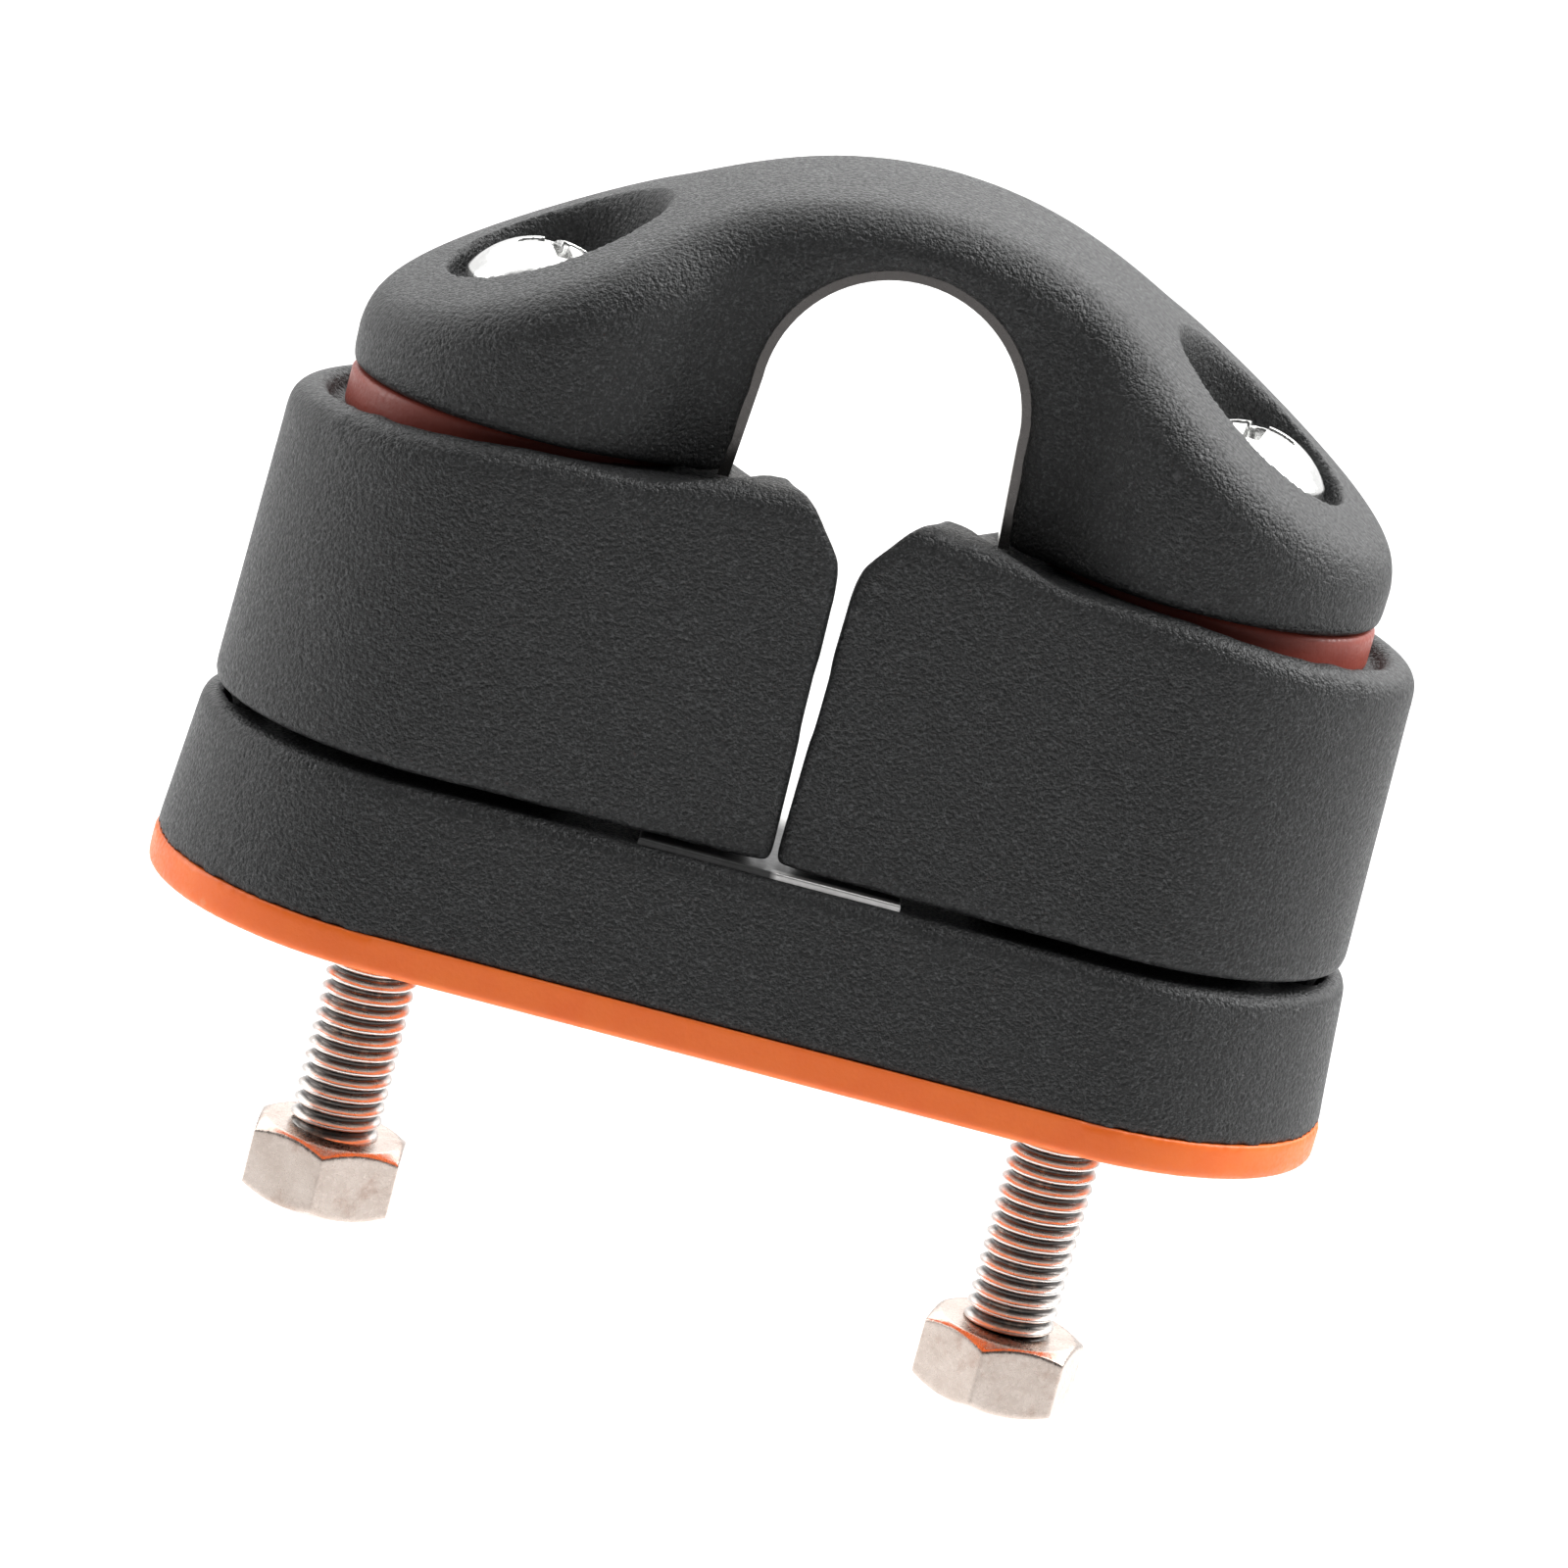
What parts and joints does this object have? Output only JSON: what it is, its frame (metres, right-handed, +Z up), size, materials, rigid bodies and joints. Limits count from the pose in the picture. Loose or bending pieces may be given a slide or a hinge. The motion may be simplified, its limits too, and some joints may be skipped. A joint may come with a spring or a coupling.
{
  "type": "cam cleat with fairlead",
  "caption": "Low oval cam cleat: toothed spring cams on ball bearings close on a rope, under an arched fairlead with a lined eye, held down by long machine screws and nuts.",
  "frame": {"origin": "centre of the mounting face, under the pad, midway between the two fasteners", "axes": "+X through the fasteners from left to right, +Y toward the load the rope holds, +Z up from the deck; the tail is pulled toward -Y"},
  "size_m": [0.0644, 0.0264, 0.0635],
  "materials": {
    "nylon_black": "matt glass-filled nylon with a fine speckled grain",
    "pad_orange": "bright orange satin moulded plastic",
    "stainless_sheet": "satin stainless sheet",
    "acetal_white": "smooth acetal",
    "cap_red": "dull red satin moulded plastic",
    "ball_steel": "polished",
    "spring_steel": "drawn stainless wire",
    "fastener_steel": "bright rolled stainless"
  },
  "bodies": {
    "base": {"base": "nylon_black", "mounting_pad": "pad_orange", "wear_plate": "stainless_sheet", "left_race_sleeve": "acetal_white", "right_race_sleeve": "acetal_white", "left_retainer_cap": "cap_red", "right_retainer_cap": "cap_red", "left_return_spring": "spring_steel", "right_return_spring": "spring_steel", "fairlead": "nylon_black", "fairlead_liner": "stainless_sheet", "left_screw": "fastener_steel", "right_screw": "fastener_steel", "left_nut": "fastener_steel", "right_nut": "fastener_steel"},
    "left_cam": {"left_cam": "nylon_black"},
    "right_cam": {"right_cam": "nylon_black"},
    "left_balls": {"left_lower_balls": "ball_steel", "left_upper_balls": "ball_steel"},
    "right_balls": {"right_lower_balls": "ball_steel", "right_upper_balls": "ball_steel"}
  },
  "joints": [
    {"name": "left_cam_pivot", "type": "hinge", "parent": "base", "child": "left_cam", "pos_m": [-0.019, 0, 0.02], "axis": [0, 0, -1], "range_deg": [0, 40], "stiffness_Nm_per_rad": 0.03, "springref_deg": -57.3, "deforming": ["left_return_spring"]},
    {"name": "right_cam_pivot", "type": "hinge", "parent": "base", "child": "right_cam", "pos_m": [0.019, 0, 0.02], "axis": [0, 0, 1], "range_deg": [0, 40], "stiffness_Nm_per_rad": 0.03, "springref_deg": -57.3, "deforming": ["right_return_spring"]},
    {"name": "left_ball_orbit", "type": "hinge", "parent": "base", "child": "left_balls", "pos_m": [-0.019, 0, 0.02], "axis": [0, 0, -1], "range_deg": [0, 25]},
    {"name": "right_ball_orbit", "type": "hinge", "parent": "base", "child": "right_balls", "pos_m": [0.019, 0, 0.02], "axis": [0, 0, 1], "range_deg": [0, 25]}
  ],
  "couplings": [
    {"joint": "left_ball_orbit", "follows": "left_cam_pivot", "ratio": 0.614},
    {"joint": "right_ball_orbit", "follows": "right_cam_pivot", "ratio": 0.614}
  ]
}
